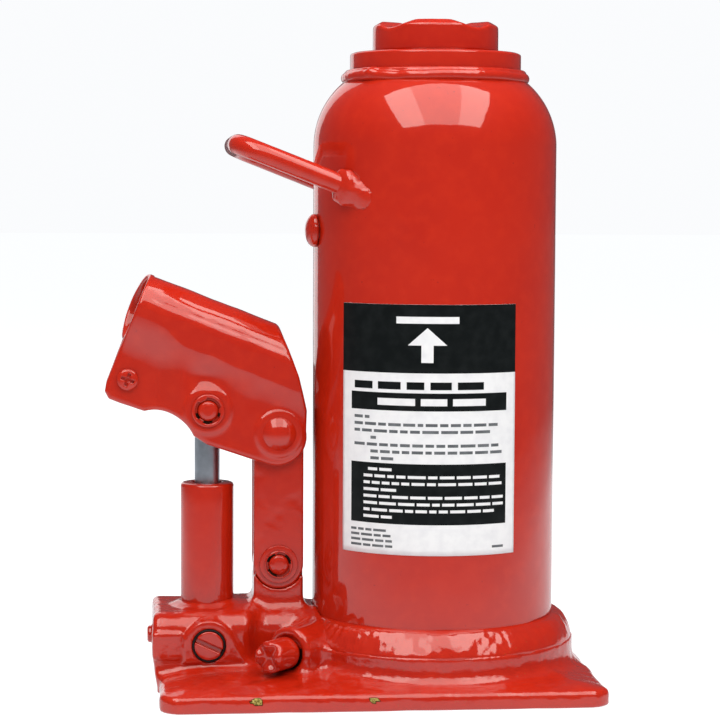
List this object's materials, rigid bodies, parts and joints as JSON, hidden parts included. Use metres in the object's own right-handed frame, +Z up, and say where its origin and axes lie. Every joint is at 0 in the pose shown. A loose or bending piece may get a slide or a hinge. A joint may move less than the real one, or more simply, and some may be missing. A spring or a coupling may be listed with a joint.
{
  "type": "hydraulic bottle jack",
  "caption": "Hydraulic bottle jack with a lever-driven pump, a rising ram with a grooved saddle, a release valve and a carry handle.",
  "frame": {"origin": "on the ram's axis, on the base plate's underside", "axes": "+Z up along the ram, -X toward the pump, -Y toward the side that carries the label and the release valve"},
  "size_m": [0.1911, 0.13, 0.2603],
  "materials": {
    "red_paint": "gloss",
    "bright_steel": "polished",
    "dark_steel": "satin",
    "black_rubber": "matte",
    "copper": "satin",
    "brass_mesh": "satin",
    "painted_rubber": "gloss",
    "label_film": "satin"
  },
  "bodies": {
    "jack_body": {"base_casting": "red_paint", "reservoir": "red_paint", "bottom_weld": "red_paint", "top_weld": "red_paint", "ram_cylinder": "dark_steel", "cylinder_gasket": "copper", "top_nut": "red_paint", "rod_seal": "black_rubber", "wiper_ring": "black_rubber", "pump_cylinder": "red_paint", "pump_gasket": "copper", "gland_ring": "black_rubber", "link_pin": "red_paint", "link_pin_washers": "red_paint", "link_pin_rings": "red_paint", "valve_plug": "red_paint", "valve_plug_ring": "black_rubber", "delivery_spring": "dark_steel", "suction_spring": "dark_steel", "end_plug": "red_paint", "suction_strainer": "brass_mesh", "carry_handle": "red_paint", "handle_welds": "red_paint", "label": "label_film"},
    "ram_body": {"ram": "bright_steel", "ram_piston": "dark_steel", "piston_cup": "black_rubber", "cup_washer": "dark_steel", "piston_nut": "dark_steel", "saddle": "red_paint"},
    "plunger_body": {"pump_plunger": "bright_steel", "plunger_seal": "black_rubber"},
    "link_body": {"link_plates": "red_paint"},
    "socket_body": {"handle_socket": "red_paint", "clamp_screw": "red_paint", "clamp_nut": "red_paint", "pump_pin": "red_paint", "pump_pin_rings": "red_paint", "fulcrum_rivet": "red_paint"},
    "release_valve": {"release_spindle": "red_paint", "release_o_ring": "black_rubber", "release_ball": "bright_steel"},
    "filler_plug_body": {"filler_plug": "painted_rubber"},
    "delivery_valve": {"delivery_ball": "bright_steel"},
    "suction_valve": {"suction_ball": "bright_steel"}
  },
  "joints": [
    {"name": "ram_lift", "type": "slide", "parent": "jack_body", "child": "ram_body", "axis": [0, 0, 1], "range_m": [0, 0.15875]},
    {"name": "link_swing", "type": "hinge", "parent": "jack_body", "child": "link_body", "pos_m": [-0.0621, 0, 0.047], "axis": [0, 1, 0], "range_deg": [-0.6, 2]},
    {"name": "handle_pump", "type": "hinge", "parent": "link_body", "child": "socket_body", "pos_m": [-0.0621, 0, 0.099], "axis": [0, -1, 0], "range_deg": [-8, 32]},
    {"name": "plunger_stroke", "type": "slide", "parent": "jack_body", "child": "plunger_body", "axis": [0, 0, 1], "range_m": [-0.0155, 0.004]},
    {"name": "release_turn", "type": "hinge", "parent": "jack_body", "child": "release_valve", "pos_m": [-0.0598, -0.035, 0.017], "axis": [-0.6428, -0.766, 0], "range_deg": [0, 720]},
    {"name": "filler_pull", "type": "slide", "parent": "jack_body", "child": "filler_plug_body", "axis": [-0.9903, -0.1392, 0], "range_m": [0, 0.02]},
    {"name": "delivery_lift", "type": "slide", "parent": "jack_body", "child": "delivery_valve", "axis": [0, -1, 0], "range_m": [0, 0.0012], "stiffness_N_per_m": 60, "springref_m": -0.002, "deforming": ["delivery_spring"]},
    {"name": "suction_lift", "type": "slide", "parent": "jack_body", "child": "suction_valve", "axis": [-1, 0, 0], "range_m": [0, 0.0012], "stiffness_N_per_m": 60, "springref_m": -0.002, "deforming": ["suction_spring"]}
  ],
  "couplings": [
    {"joint": "link_swing", "follows": "handle_pump", "ratio": 0.0565},
    {"joint": "plunger_stroke", "follows": "handle_pump", "m_per_rad": -0.027075}
  ]
}
